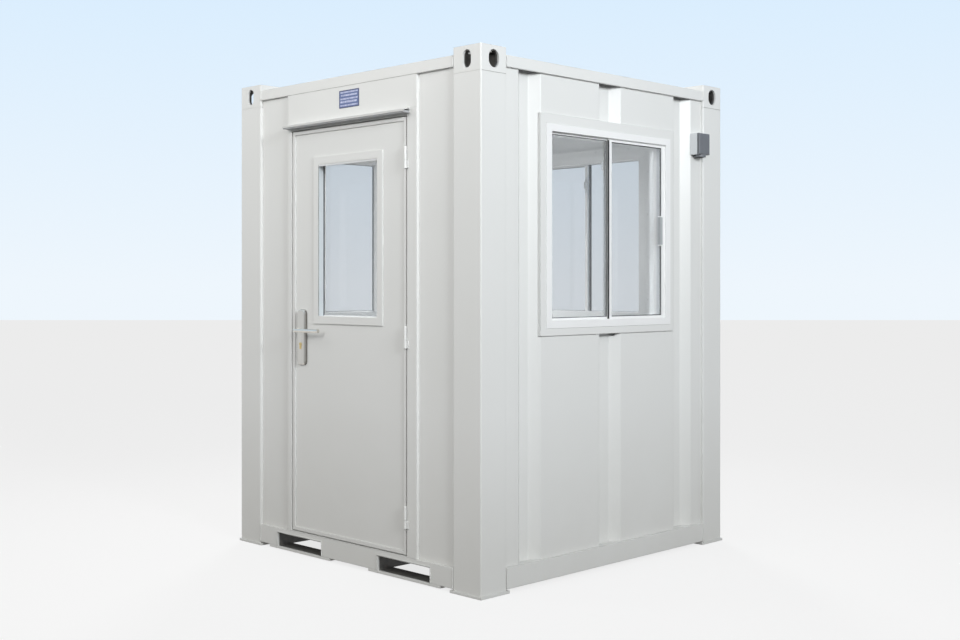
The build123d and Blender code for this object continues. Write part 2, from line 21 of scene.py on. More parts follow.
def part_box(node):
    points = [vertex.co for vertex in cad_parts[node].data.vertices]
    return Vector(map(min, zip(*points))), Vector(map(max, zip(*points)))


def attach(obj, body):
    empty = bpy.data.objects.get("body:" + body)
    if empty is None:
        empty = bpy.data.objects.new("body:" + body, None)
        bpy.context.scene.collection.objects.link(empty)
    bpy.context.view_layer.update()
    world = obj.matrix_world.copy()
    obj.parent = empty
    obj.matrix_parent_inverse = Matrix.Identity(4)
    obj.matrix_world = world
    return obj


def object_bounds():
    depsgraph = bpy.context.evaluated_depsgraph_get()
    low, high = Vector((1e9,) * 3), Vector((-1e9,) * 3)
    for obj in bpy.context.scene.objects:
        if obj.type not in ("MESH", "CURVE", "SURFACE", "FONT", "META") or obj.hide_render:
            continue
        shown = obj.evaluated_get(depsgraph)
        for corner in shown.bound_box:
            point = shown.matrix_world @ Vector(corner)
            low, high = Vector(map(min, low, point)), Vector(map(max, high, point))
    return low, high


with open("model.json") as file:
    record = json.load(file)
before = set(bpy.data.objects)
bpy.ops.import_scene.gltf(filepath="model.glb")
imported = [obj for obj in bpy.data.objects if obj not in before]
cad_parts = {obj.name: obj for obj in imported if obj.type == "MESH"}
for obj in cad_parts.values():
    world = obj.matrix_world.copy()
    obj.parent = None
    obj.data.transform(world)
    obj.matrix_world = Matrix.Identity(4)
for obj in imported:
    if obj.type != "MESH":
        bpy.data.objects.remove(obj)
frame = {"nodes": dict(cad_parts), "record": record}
nodes = frame["nodes"]
scene = bpy.context.scene
cad_low, cad_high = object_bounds()
print(len(nodes), "CAD parts, from", tuple(cad_low), "to", tuple(cad_high))


def add_object(name, data):
    """Put data into the scene as an object at the origin."""
    made = bpy.data.objects.new(name, data)
    scene.collection.objects.link(made)
    return made


# %% [markdown]
# ## The camera
#
# The camera looks at the edge between two faces that are turned away by the same 45
# degrees, so the booth reads as a square tower. It stands level, which keeps the posts
# upright, and a small lens shift lowers the view instead of tilting it.

# %% Place the camera
LENS_MM = 47.3
SENSOR_MM = 36.0
EYE_HEIGHT = 1.382
EDGE_DISTANCE = 5.514  # from the lens to the booth's near corner
SHIFT_RIGHT = -1 / 960  # in widths of the picture
SHIFT_UP = -36 / 960

post_low, post_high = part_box("front_right_post")
corner = Vector((post_high.x, post_low.y, 0))
half_x, half_y = corner.x, -corner.y
sideways = EDGE_DISTANCE / sqrt(2)

camera = add_object("camera", bpy.data.cameras.new("camera"))
camera.data.lens, camera.data.sensor_width = LENS_MM, SENSOR_MM
camera.data.shift_x, camera.data.shift_y = SHIFT_RIGHT, SHIFT_UP
camera.location = (corner.x + sideways, corner.y - sideways, EYE_HEIGHT)
camera.rotation_euler = (radians(90), 0, radians(45))
scene.camera = camera
print("camera at", tuple(round(v, 3) for v in camera.location))

# %% [markdown]
# ## The studio
#
# A pale floor, a pale blue backdrop and five broad, soft lamps. One lights the window side
# and one the door, both aimed high, so the walls fall off towards the ground. A third, almost
# behind the camera, puts a sheen on the grooves' sloping sides and short shadows under
# whatever stands proud. Weak ones lift the far end of the door's side and the back. The
# backdrop shows only directly, in a mirror or through glass; the walls are lit by a neutral
# sky, so the paint keeps its own colour.

# %% Helpers that add shader nodes
def fill(socket, value):
    """Link a socket to an input, or set the input; a colour needs only three numbers."""
    if isinstance(value, bpy.types.NodeSocket):
        socket.id_data.links.new(value, socket)
    else:
        socket.default_value = (*value, 1) if socket.type == "RGBA" else value


def drive(node, **inputs):
    """Fill a node's inputs by name."""
    for name, value in inputs.items():
        fill(node.inputs[name.replace("_", " ")], value)


def add_node(tree, kind, *inputs, **settings):
    """Add a node; a kind without "Node" in it is one of the tree's own. A plain argument
    fills the next input, a named one is a property or an input."""
    node = tree.nodes.new(kind if "Node" in kind else tree.bl_idname[:-4] + kind)
    for name in [name for name in settings if hasattr(node, name)]:
        setattr(node, name, settings.pop(name))
    drive(node, **settings)
    for socket, value in zip(node.inputs, inputs):
        fill(socket, value)
    return node


def step(tree, kind, *inputs, **settings):
    """Add a node and return its first output."""
    return add_node(tree, kind, *inputs, **settings).outputs[0]


def maths(operation, first, *others):
    """One arithmetic step, in the tree of its first socket."""
    return step(first.id_data, "ShaderNodeMath", first, *others, operation=operation)


def seen_directly(tree):
    """1 for what the camera sees, also in a mirror or through glass, and 0 for light."""
    rays = add_node(tree, "LightPath").outputs
    total = rays["Is Camera Ray"]
    for ray in ("Is Glossy Ray", "Is Transmission Ray"):
        total = maths("MAXIMUM", total, rays[ray])
    return total


def graded(value, low, high, to_low, to_high):
    """Map a value from one range to another, clamped."""
    return step(value.id_data, "MapRange", value, low, high, to_low, to_high)


# %% World: neutral light, pale blue backdrop
SKY_LIGHT = 0.38
BACKDROP = ((0.0, (0.855, 0.922, 0.982, 1)), (0.24, (0.69, 0.845, 0.993, 1)))  # upwards

world = bpy.data.worlds.new("studio")
world.use_nodes = True
scene.world = world
tree = world.node_tree
tree.nodes.clear()
direction = add_node(tree, "TexCoord").outputs["Generated"]
height = add_node(tree, "SeparateXYZ", direction).outputs["Z"]
ramp = add_node(tree, "ValToRGB", height)
for element, (place, colour) in zip(ramp.color_ramp.elements, BACKDROP):
    element.position = place
    element.color = colour
light = step(tree, "Background", (1, 1, 1), SKY_LIGHT)
backdrop = step(tree, "Background", ramp.outputs[0], 1.0)
sky = step(tree, "MixShader", seen_directly(tree), light, backdrop)
add_node(tree, "OutputWorld", sky)
scene.view_settings.view_transform = "Standard"
print("sky light", SKY_LIGHT)

# %% Lamps
LAMPS = {  # place, target, size, watts, colour and angle of the beam
    "window": ((8.6, -2.6, 4.0), (0.9, 0, 3.2), 2.0, 132, (0.925, 0.968, 1.0), 90),
    "door": ((0.3, -7.0, 4.2), (-0.1, -0.9, 2.9), 2.0, 38, (1.0, 0.99, 0.965), 90),
    "camera_side": ((5.51, -5.05, 3.65), (0.6, -0.6, 1.8), 1.6, 60, (1, 1, 1), 180),
    "behind": ((-5.5, 5.0, 4.6), (-0.6, 0.6, 1.8), 2.0, 50, (1, 1, 1), 60),
    "far_end": ((-2.8, -3.6, 4.0), (-0.8, -0.9, 2.0), 1.6, 34, (1.0, 0.99, 0.95), 180),
}


def soft_box(name, place, target, size, watts, colour, beam):
    """A square area lamp that points at a spot."""
    lamp = add_object(name, bpy.data.lights.new(name, "AREA"))
    lamp.data.shape, lamp.data.size = "SQUARE", size
    lamp.data.energy, lamp.data.color = watts, colour
    lamp.data.spread = radians(beam)
    lamp.location = place
    aim = Vector(target) - Vector(place)
    lamp.rotation_euler = aim.to_track_quat("-Z", "Y").to_euler()
    print(name, "lamp,", watts, "W")
    return lamp


for name, values in LAMPS.items():
    soft_box(name, *values)

# %% [markdown]
# The cabin's ceiling is fairly bright, as if light came up from a pale floor. A weak lamp
# at table height, facing up, does this and isn't itself seen.

# %% A lamp inside the cabin
CABIN_LAMP_WATTS = 3.6
TABLE_HEIGHT = 1.1

table, ceiling = (0, 0, TABLE_HEIGHT), (0, 0, cad_high[2])
cabin_lamp = soft_box("cabin", table, ceiling, 0.9, CABIN_LAMP_WATTS, (1, 1, 1), 180)
cabin_lamp.visible_camera = cabin_lamp.visible_glossy = False
cabin_lamp.visible_transmission = False

# %% [markdown]
# The floor is pale and nearly free of shadow where it is seen, and much darker where it
# lights the booth.

# %% Floor
FLOOR_EDGE = 41.5  # to its far edge, which is square to the view
FLOOR_GLOW = 0.84  # the share of the seen floor that shadows don't reach
FLOOR_SEEN = (0.93, 0.93, 0.93)
FLOOR_BOUNCE = (0.20, 0.20, 0.20)

floor_mesh = bpy.data.meshes.new("floor")
reach = FLOOR_EDGE * sqrt(2)
floor_mesh.from_pydata(
    [(reach, 0, 0), (0, reach, 0), (-reach, 0, 0), (0, -reach, 0)], [], [(0, 1, 2, 3)]
)
floor = add_object("floor", floor_mesh)
finish = bpy.data.materials.new("floor")
finish.use_nodes = True
tree = finish.node_tree
tree.nodes.clear()
glow = step(tree, "Emission", FLOOR_SEEN)
shaded = step(tree, "BsdfDiffuse", FLOOR_SEEN)
seen = step(tree, "MixShader", FLOOR_GLOW, shaded, glow)
bounce = step(tree, "BsdfDiffuse", FLOOR_BOUNCE)
either = step(tree, "MixShader", seen_directly(tree), bounce, seen)
add_node(tree, "OutputMaterial", either)
floor_mesh.materials.append(finish)
print("floor reaches", round(reach, 1), "m")

# %% [markdown]
# ## Finishes
#
# Each finish is one Principled shader whose colour, roughness and bump come from small
# procedural patterns. They read Object coordinates, which are metres in the booth's own
# frame, so a scale of 400 means 400 cells in a metre. A few helpers serve every finish.

# %% Finish helpers
def new_finish(name, colour, roughness, **settings):
    """A material with one Principled shader, returned with its tree and the shader."""
    finish = bpy.data.materials.new(name)
    finish.use_nodes = True
    shader = finish.node_tree.nodes["Principled BSDF"]
    drive(shader, Base_Color=colour, Roughness=roughness, **settings)
    return finish, finish.node_tree, shader


def inside(limits, width):
    """A pair of limits moved inwards by a width."""
    return (limits[0] + width, limits[1] - width)


def within(value, low, high):
    """1 where a value lies between two limits."""
    return maths("COMPARE", value, (low + high) / 2, (high - low) / 2)


def object_place(tree, stretch=(1, 1, 1)):
    """Object coordinates, scaled along each axis."""
    place = add_node(tree, "TexCoord").outputs["Object"]
    return step(tree, "Mapping", place, Scale=stretch)


def object_axes(tree):
    """Object coordinates as separate values X, Y and Z."""
    return add_node(tree, "SeparateXYZ", object_place(tree)).outputs


def noise(tree, scale, detail=3.0, stretch=(1, 1, 1)):
    """Noise on the object's own coordinates, in cells per metre."""
    place = object_place(tree, stretch)
    return step(tree, "TexNoise", place, Scale=scale, Detail=detail)


def patches(tree, scale, detail, low=0, high=1, band=(0.3, 0.7)):
    """Soft patches between two values: the noise's middle band, spread out."""
    return graded(noise(tree, scale, detail), *band, low, high)


def blended(factor, first, second):
    """Mix two colours by a factor."""
    mix = add_node(factor.id_data, "Mix", factor, A=first, B=second, data_type="RGBA")
    return mix.outputs[2]


def bumped(shader, height, distance, **under):
    """Raise the surface by a height, over another Normal if one is given."""
    bump = step(shader.id_data, "Bump", Height=height, Distance=distance, **under)
    drive(shader, Normal=bump)
    return bump


# %% [markdown]
# ### Booth paint
#
# The steel is sprayed a satin grey-white. Close up it has a fine orange peel; across a
# panel the sheet is never quite flat, so a long, very shallow wave bends the reflections.
# Bent edges turn smoothly over a narrow band. The colour turns darker and warmer
# towards the ground.
# All of it is noise at different scales, plus one ramp over the height.

# %% Booth paint
PAINT = (0.785, 0.787, 0.772)
PAINT_SHADE = (0.768, 0.770, 0.752)
PAINT_LOW_TONE = (0.62, 0.61, 0.575)
LOW_TONE_HEIGHT = 0.8
LOW_TONE_AT_FOOT = 0.7
BEND = 0.005  # the radius of sheet and section
PANEL_WAVE = 0.0010
ORANGE_PEEL = 0.00005


def booth_paint(name):
    """The paint's material, its tree, its shader and its colour's socket."""
    finish, tree, shader = new_finish(name, PAINT, 0.4)
    colour = blended(patches(tree, 1.6, 4), PAINT_SHADE, PAINT)
    # Towards the ground the colour turns darker and warmer, in soft patches.
    low = graded(object_axes(tree)["Z"], 0.0, LOW_TONE_HEIGHT, LOW_TONE_AT_FOOT, 0.0)
    cloud = patches(tree, 5, 5, 0.7, 1, (0.25, 0.75))
    colour = blended(maths("MULTIPLY", low, cloud), colour, PAINT_LOW_TONE)
    drive(shader, Base_Color=colour, Roughness=patches(tree, 9, 3, 0.31, 0.40))
    bend = step(tree, "Bevel", Radius=BEND)
    wave = bumped(shader, noise(tree, 2.2, 1), PANEL_WAVE, Normal=bend)
    bumped(shader, noise(tree, 420, 2), ORANGE_PEEL, Normal=wave)
    return finish, tree, shader, colour


# %% [markdown]
# Two kinds of part are hollow: the lifting castings and the fork pockets. Their finish is
# the booth's paint that gives way, within given limits, to a dark colour with browner
# patches: painted shade for the shade inside the hollows.

# %% Paint with painted shade in the hollows
HOLLOW_SHADE = (0.095, 0.094, 0.092)
HOLLOW_SHADE_BROWN = (0.16, 0.15, 0.138)
HOLLOW_SHADE_FROM = 0.010  # behind the booth's faces
CASTING_TO = 0.158
CASTING_HEIGHT = 0.12
CASTING_TOP = 0.0215
POCKET_FLOOR = 0.008


def paint_with_hollow_shade(name, limits):
    """Booth paint, with painted shade where every axis in limits lies between its two values."""
    finish, tree, shader, colour = booth_paint(name)
    axes = object_axes(tree)
    dark = None
    for axis, (low, high) in limits.items():
        band = within(maths("ABSOLUTE", axes[axis]), low, high)
        dark = maths("MULTIPLY", dark, band) if dark else band
    # The dark colour is painted shade, in soft patches of a browner tone.
    painted_shade = blended(patches(tree, 40, 5, band=(0.35, 0.7)), HOLLOW_SHADE, HOLLOW_SHADE_BROWN)
    drive(shader, Base_Color=blended(dark, colour, painted_shade))
    return finish


# %% [markdown]
# ### Glass
#
# Float glass with a slight grey cast. A refracting shader would cast a dark shadow that
# real glass doesn't, so rays that only test for shadow pass straight through a tinted
# transparent shader instead.

# %% Glass
GLASS_TINT = (0.83, 0.826, 0.825)
GLASS_SHADOW = (0.93, 0.94, 0.94)


def clear_glass():
    finish, tree, shader = new_finish(
        "clear_glass", GLASS_TINT, 0.0, Transmission_Weight=1.0, IOR=1.45
    )
    drive(shader, Roughness=patches(tree, 5, 4, 0.0, 0.02, (0.35, 0.7)))
    shadow = add_node(tree, "LightPath").outputs["Is Shadow Ray"]
    through = step(tree, "BsdfTransparent", GLASS_SHADOW)
    both = step(tree, "MixShader", shadow, shader.outputs[0], through)
    tree.links.new(both, tree.nodes["Material Output"].inputs[0])
    return finish


# %% [markdown]
# ### Window frames, linings and plastics
#
# These are quiet, nearly even surfaces, told apart by their grain: powder coat has a tight
# pebble, vinyl-faced board a soft leather grain, moulded plastic a coarser one, and rubber
# is matt with a bloom of paler dust.

# %% A finish with one grain
SHEEN = 0.04  # how far the roughness swings to either side


def grained(name, colour, second, roughness, grain, depth, patch=6.0):
    """A colour with soft patches of a second one, under a fine grain of a given depth."""
    finish, tree, shader = new_finish(name, colour, roughness)
    sheen = patches(tree, patch * 3, 3, -SHEEN, SHEEN)
    tone = blended(patches(tree, patch, 4), colour, second)
    drive(shader, Base_Color=tone, Roughness=maths("ADD", sheen, roughness))
    bumped(shader, noise(tree, grain, 2), depth)
    return finish


# %% [markdown]
# ### Metals
#
# The handle set is satin stainless, brushed along its length, so its noise is stretched
# into streaks that vary the roughness and the bump. The polished lever has such streaks on
# a smoother metal. The lock's turned brass has rings under a millimetre apart, so a tight
# noise stands for them.

# %% A brushed metal
def brushed(name, colour, second, roughness, stretch):
    """A metal with streaks along the axis that has a low number in stretch."""
    finish, tree, shader = new_finish(name, colour, roughness, Metallic=1.0)
    streaks = noise(tree, 60, 4, stretch)
    tone = graded(streaks, 0.3, 0.7, 0, 1)
    rough = graded(streaks, 0.3, 0.7, roughness - 0.06, roughness + 0.08)
    drive(shader, Base_Color=blended(tone, colour, second), Roughness=rough)
    bumped(shader, noise(tree, 240, 2, stretch), 0.00004)
    return finish


# %% [markdown]
# ### The cabin floor
#
# Sheet vinyl with a fine speckle: a Voronoi pattern picks a tone for each small cell, and a
# slow noise wears paths into the gloss.

# %% Vinyl sheet
VINYL = (0.34, 0.35, 0.36)
VINYL_DARK = (0.32, 0.33, 0.34)
VINYL_PALE = (0.46, 0.47, 0.48)


def vinyl_sheet():
    finish, tree, shader = new_finish("vinyl_sheet", VINYL, 0.5)
    cells = add_node(tree, "TexVoronoi", object_place(tree), Scale=220)
    grey = step(tree, "RGBToBW", cells.outputs["Color"])
    colour = blended(graded(grey, 0.3, 0.8, 0, 1), VINYL_DARK, VINYL_PALE)
    drive(shader, Base_Color=colour, Roughness=patches(tree, 3, 4, 0.4, 0.6))
    bumped(shader, noise(tree, 180, 2), 0.0001)
    return finish


# %% [markdown]
# ### A painted dark reflection on the plate's edges
#
# The long edges of the outer handle plate are rolled over. The dark ground that they mirror
# is painted into their colour as a dark reflection, so they read as dark lines. A band over
# the plate's width keeps the middle as it is and scales the colour down outside it, at no
# cost in geometry.

# %% Painted reflection on the rolled edges
EDGE_REFLECTION_TONE = 0.52
PLATE_EDGE = 0.007


def paint_edge_reflection(finish, low, high):
    """Paint a dark reflection into a finish outside two values of x."""
    tree = finish.node_tree
    shader = tree.nodes["Principled BSDF"]
    colour = shader.inputs["Base Color"].links[0].from_socket
    tone = graded(within(object_axes(tree)["X"], low, high), 0, 1, EDGE_REFLECTION_TONE, 1)
    darker = step(tree, "VectorMath", colour, Scale=tone, operation="SCALE")
    drive(shader, Base_Color=darker)


# %% [markdown]
# ### The list of finishes
#
# One table holds everything with a grain and one every metal, each row with the CAD
# material, or slot, that it belongs to. A CAD part takes its slot's first finish, apart
# from castings, fork pockets, drip rail, lever and outer plate, which have their own.

# %% Every CAD part gets its finish
GRAINS = {  # slot, colour, second colour, roughness, grain, its depth and, if given, patches
    "white_coat": ("white_frame", (0.90, 0.90, 0.895), (0.87, 0.87, 0.865), 0.32, 600, 3e-5),
    "lining_board": ("lining", (0.86, 0.87, 0.87), (0.83, 0.84, 0.84), 0.5, 260, 1e-4),
    "dark_moulding": ("dark_plastic", (0.155, 0.162, 0.18), (0.12, 0.126, 0.14), 0.45, 380, 8e-5),
    "pale_moulding": ("white_plastic", (0.74, 0.76, 0.78), (0.70, 0.72, 0.74), 0.36, 380, 4e-5),
    # grey: painted shade in the pulls' sunken grips
    "grip_moulding": ("white_plastic", (0.43, 0.45, 0.46), (0.39, 0.41, 0.42), 0.4, 380, 4e-5),
    "reveal_strip": ("white_plastic", (0.60, 0.64, 0.66), (0.56, 0.60, 0.62), 0.34, 380, 4e-5),
    "weathered_joint": ("booth_paint", (0.5, 0.5, 0.48), (0.42, 0.42, 0.4), 0.5, 300, 5e-5, 12),
    # The drip rail's paint is darker than the booth's: painted shade for the rail's top, which
    # catches little light.
    "rail_paint": ("booth_paint", (0.66, 0.66, 0.645), (0.62, 0.62, 0.605), 0.45, 300, 5e-5),
    "pale_rubber": ("dark_plastic", (0.42, 0.43, 0.44), (0.36, 0.37, 0.38), 0.55, 300, 5e-5, 20),
    "white_rubber": ("white_plastic", (0.78, 0.79, 0.8), (0.72, 0.73, 0.74), 0.5, 300, 5e-5, 20),
    "rubber": ("dark_plastic", (0.035, 0.036, 0.038), (0.06, 0.06, 0.06), 0.62, 300, 5e-5, 20),
}
SATIN = ("stainless", (0.66, 0.63, 0.58), (0.57, 0.54, 0.50), 0.36, (1, 1, 0.06))
METALS = {  # slot, colour, second colour, roughness and stretch
    "satin_stainless": SATIN,
    "plate_stainless": SATIN,
    "polished_stainless": ("stainless", (0.72, 0.69, 0.64), (0.64, 0.61, 0.56), 0.17, (0.06, 1, 1)),
    "anodised_aluminium": ("stainless", (0.78, 0.79, 0.8), (0.7, 0.71, 0.72), 0.22, (1, 1, 0.1)),
    "turned_brass": ("brass", (0.72, 0.56, 0.26), (0.60, 0.45, 0.20), 0.32, (1, 0.2, 1)),
    "zinc_screws": ("stainless", (0.60, 0.60, 0.60), (0.48, 0.48, 0.48), 0.34, (1, 1, 1)),
}
casting_limits = {
    "X": (half_x - CASTING_TO, half_x - HOLLOW_SHADE_FROM),
    "Y": (half_y - CASTING_TO, half_y - HOLLOW_SHADE_FROM),
    "Z": (cad_high[2] - CASTING_HEIGHT, cad_high[2] - CASTING_TOP),
}
pocket_low, pocket_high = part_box("left_fork_pocket")
pocket_limits = {  # open to the far side and to the top
    "Y": (-1, pocket_high.y - HOLLOW_SHADE_FROM),
    "Z": (pocket_low.z + POCKET_FLOOR, pocket_high.z + 1),
}
finishes = {  # each finish with its slot
    "booth_paint": (booth_paint("booth_paint")[0], "booth_paint"),
    # The castings' and the pockets' paint has painted shade inside them.
    "casting_paint": (paint_with_hollow_shade("casting_paint", casting_limits), "booth_paint"),
    "pocket_paint": (paint_with_hollow_shade("pocket_paint", pocket_limits), "booth_paint"),
    "clear_glass": (clear_glass(), "glass"),
    "vinyl_sheet": (vinyl_sheet(), "floor"),
}
for make, table in ((grained, GRAINS), (brushed, METALS)):
    for name, (slot, *values) in table.items():
        finishes[name] = (make(name, *values), slot)
plate_low, plate_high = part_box("outer_handle_plate")
plate_middle = inside((plate_low.x, plate_high.x), PLATE_EDGE)
# The outer plate's edges get a painted dark reflection.
paint_edge_reflection(finishes["plate_stainless"][0], *plate_middle)

slot_finish = {}
for name, (_, slot) in finishes.items():
    slot_finish.setdefault(slot, name)
own_finish = {  # by the end of the part's name
    "_casting": "casting_paint",
    "_fork_pocket": "pocket_paint",
    "lever_handle": "polished_stainless",
    "drip_rail": "rail_paint",
    "outer_handle_plate": "plate_stainless",
}
for part in frame["record"]["subparts"]:
    own = [own_finish[end] for end in own_finish if part["node"].endswith(end)]
    finish = own[0] if own else slot_finish[part["material_slot"]]
    mesh = nodes[part["node"]].data
    mesh.materials.clear()
    mesh.materials.append(finishes[finish][0])

# %% [markdown]
# ## Working on a wall
#
# All four sides carry much the same fittings, so each is drawn once, flat, as if standing
# in front of the wall: x to the right, y into the wall from the post faces, z up. One matrix
# per wall turns the drawing into its place. The turn goes into the mesh itself, so every
# finished object sits at the origin like the CAD parts.

# %% The four walls' frames
walls = {}
for wall, origin, turn in (
    ("front", (0, -half_y, 0), 0),
    ("right", (half_x, 0, 0), 90),
    ("back", (0, half_y, 0), 180),
    ("left", (-half_x, 0, 0), -90),
):
    turned = Matrix.Rotation(radians(turn), 4, "Z")
    walls[wall] = Matrix.Translation(origin) @ turned
windowed = ("right", "back", "left")


def off_wall(wall, points):
    """Points of a wall's drawing, put in their place."""
    return [walls[wall] @ Vector(point) for point in points]


def on_wall(wall, part):
    """The limits of a wall's CAD part in x, y and z, as the wall's drawing sees them."""
    node = f"{wall}_{part}" if f"{wall}_{part}" in nodes else part
    back = walls[wall].inverted()
    ends = [back @ Vector(end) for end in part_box(node)]
    return [(min(pair), max(pair)) for pair in zip(*ends)]


print("walls", ", ".join(walls), "at", round(half_x, 4), "and", round(half_y, 4), "m")


# %% Helpers that draw shapes
def add_block(shape, x, y, z):
    """A box from three pairs of limits, with its faces outwards."""
    size = [b - a for a, b in (x, y, z)]
    middle = [(a + b) / 2 for a, b in (x, y, z)]
    matrix = Matrix.Translation(middle) @ Matrix.Diagonal((*size, 1))
    bmesh.ops.create_cube(shape, size=1, matrix=matrix)


def add_sides(shape, first, second):
    """The faces between two closed outlines with as many corners."""
    made = []
    for k in range(len(first)):
        n = (k + 1) % len(first)
        made.append(shape.faces.new((first[k], first[n], second[n], second[k])))
    return made


def add_ring(shape, outer_x, outer_z, inner_x, inner_z, y):
    """A picture frame with mitred corners, from its outer and inner limits."""
    order = ((0, 0), (1, 0), (1, 1), (0, 1))
    outer = [(outer_x[i], outer_z[j]) for i, j in order]
    inner = [(inner_x[i], inner_z[j]) for i, j in order]
    loops = []
    for corners, depth in ((outer, y[0]), (inner, y[0]), (inner, y[1]), (outer, y[1])):
        loops.append([shape.verts.new((cx, depth, cz)) for cx, cz in corners])
    made = []
    for first, second in zip(loops, loops[1:] + loops[:1]):
        made += add_sides(shape, first, second)
    bmesh.ops.recalc_face_normals(shape, faces=made)


def add_prism(shape, first, second):
    """A solid between two outlines with as many corners."""
    first, second = [[shape.verts.new(p) for p in outline] for outline in (first, second)]
    made = [shape.faces.new(first), shape.faces.new(second)]
    made += add_sides(shape, first, second)
    bmesh.ops.recalc_face_normals(shape, faces=made)


def add_rounded(shape, x, y, z, radius, steps=4):
    """A plate in the plane of the wall with rounded corners."""
    outline = []
    for cx, cz, start in (
        (x[1] - radius, z[1] - radius, 0),
        (x[0] + radius, z[1] - radius, 90),
        (x[0] + radius, z[0] + radius, 180),
        (x[1] - radius, z[0] + radius, 270),
    ):
        for k in range(steps + 1):
            angle = radians(start + 90 * k / steps)
            outline.append((cx + radius * cos(angle), cz + radius * sin(angle)))
    add_prism(shape, *[[(px, depth, pz) for px, pz in outline] for depth in y])


def around(middle, size):
    """The limits of a size about its middle."""
    return (middle - size / 2, middle + size / 2)


# %% Helpers that finish pieces
SHARP = 0.5  # radians between two faces
SMOOTH_BELOW = 35  # degrees


def soften(shape, width, segments=2):
    """Round off every sharp edge of a drawing."""
    sharp = [e for e in shape.edges if len(e.link_faces) == 2 and e.calc_face_angle() > SHARP]
    bmesh.ops.bevel(
        shape, geom=sharp, offset=width, segments=segments, affect="EDGES", clamp_overlap=True
    )


def dress(mesh, name, finish, body):
    """Give a finished mesh its object, its finish and the body it moves with."""
    material, finish_slot = finishes[finish]
    mesh.materials.clear()
    mesh.materials.append(material)
    mesh.shade_smooth()
    mesh.set_sharp_from_angle(angle=radians(SMOOTH_BELOW))
    piece = add_object(name, mesh)
    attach(piece, body)
    print(name, len(mesh.polygons), "faces")


def stand_up(shape, wall, name, finish, body="booth"):
    """Turn a drawing into its place on a wall, if it has one, and dress it. Where walls
    repeat a piece, the wall's name goes before the piece's."""
    if wall in windowed:
        name = f"{wall}_{name}"
    if wall is not None:
        bmesh.ops.transform(shape, matrix=walls[wall], verts=shape.verts)
    mesh = bpy.data.meshes.new(name)
    shape.to_mesh(mesh)
    shape.free()
    dress(mesh, name, finish, body)


def blocks(wall, name, finish, boxes, soft=0.0, body="booth"):
    """A piece made of plain boxes, softened if a width is given."""
    shape = bmesh.new()
    for x, y, z in boxes:
        add_block(shape, x, y, z)
    if soft:
        soften(shape, soft)
    stand_up(shape, wall, name, finish, body)


# %% [markdown]
# ## Sliding windows
#
# Each window is a fixed pane with a sash that slides in front of it. The CAD leaves out
# rubber and hardware: a gasket round each pane, dark outside and pale inside, a brush along
# the meeting stile, a bright interlock strip behind it, a liner in the track and a latch.
# A gasket is a mitred ring whose rounded edges catch a thin highlight.

# %% Gaskets and brushes
SASH_STILE = 0.018
SASH_FAR_STILE = 0.028
SASH_TOP_RAIL = 0.016
SASH_BOTTOM_RAIL = 0.011
TOP_REBATE = 0.008
SASH_GASKET = 0.004
FIXED_GASKET = 0.003
GASKET_DEPTH = 0.003
GASKET_ROUND = 0.0008
SASH_PANE = (0.016, 0.022)  # the pane's two faces
FIXED_PANE = (0.030, 0.036)
STILE_BACK = 0.050
BRUSH = 0.0015
BRUSH_FRONT = 0.012
INTERLOCK = 0.0008
INTERLOCK_BEHIND = 0.0032  # the fixed pane

for wall in windowed:
    x, _, z = on_wall(wall, "window_sash")
    glass_x, _, glass_z = on_wall(wall, "window_glass")
    sash_x = (x[0] + SASH_STILE, x[1] - SASH_FAR_STILE)
    sash_z = (z[0] + SASH_BOTTOM_RAIL, z[1] - SASH_TOP_RAIL)
    sash_ring = (sash_x, sash_z, inside(sash_x, SASH_GASKET), inside(sash_z, SASH_GASKET))
    fixed_x = (glass_x[0], x[0] - INTERLOCK)
    fixed_clear_z = inside(glass_z, FIXED_GASKET)
    fixed_ring = (fixed_x, glass_z, inside(fixed_x, FIXED_GASKET), fixed_clear_z)
    for name, finish, face, way in (
        ("window_gaskets", "rubber", 0, -GASKET_DEPTH),
        ("inner_gaskets", "pale_rubber", 1, GASKET_DEPTH),
    ):
        shape = bmesh.new()
        for ring, pane in ((sash_ring, SASH_PANE), (fixed_ring, FIXED_PANE)):
            add_ring(shape, *ring, sorted((pane[face], pane[face] + way)))
        soften(shape, GASKET_ROUND)
        stand_up(shape, wall, name, finish)
    brush_y = (BRUSH_FRONT, SASH_PANE[1])
    brush = ((x[0] - BRUSH, x[0]), brush_y, (z[0], z[1] - TOP_REBATE))
    blocks(wall, "window_brush", "rubber", [brush])
    interlock_y = (FIXED_PANE[1] + INTERLOCK_BEHIND, STILE_BACK)
    interlock = ((x[0] - INTERLOCK, x[0]), interlock_y, fixed_clear_z)
    blocks(wall, "interlock", "anodised_aluminium", [interlock])

# %% [markdown]
# The pull on the sash's far stile is a moulding with a sunken grip. A grey inlay over
# the glass is painted shade for the grip's sunken face, and leaves a pale lip beside it.

# %% Painted shade in the pulls' grips
PULL_LENGTH = 0.150
PULL_LIP = 0.011
PULL_GRIP = 0.023
PULL_STAND = 0.012
PULL_LAP = 0.005
PULL_RIM = 0.005
INLAY_PROUD = 0.0002
INLAY = 0.0005

for wall in windowed:
    x, (front, _), z = on_wall(wall, "window_sash")
    lip = x[1] - SASH_FAR_STILE + PULL_LAP - PULL_LIP
    edge = lip - PULL_GRIP - INLAY_PROUD
    grip_z = around((z[0] + z[1]) / 2, PULL_LENGTH - 2 * PULL_RIM)
    face = ((edge, lip), (front - INLAY_PROUD, front + INLAY), grip_z)
    side = ((edge, edge + INLAY_PROUD + INLAY), (front, front + PULL_STAND), grip_z)
    # The grey inlay is painted shade.
    blocks(wall, "pull_grip", "grip_moulding", [face, side])

# %% [markdown]
# The latch is inside, high on the meeting stile: a small lever on a rounded base. Both
# are rounded plates with softened edges; the lever's face on the room side is pulled in
# towards its middle before that, so it tapers.

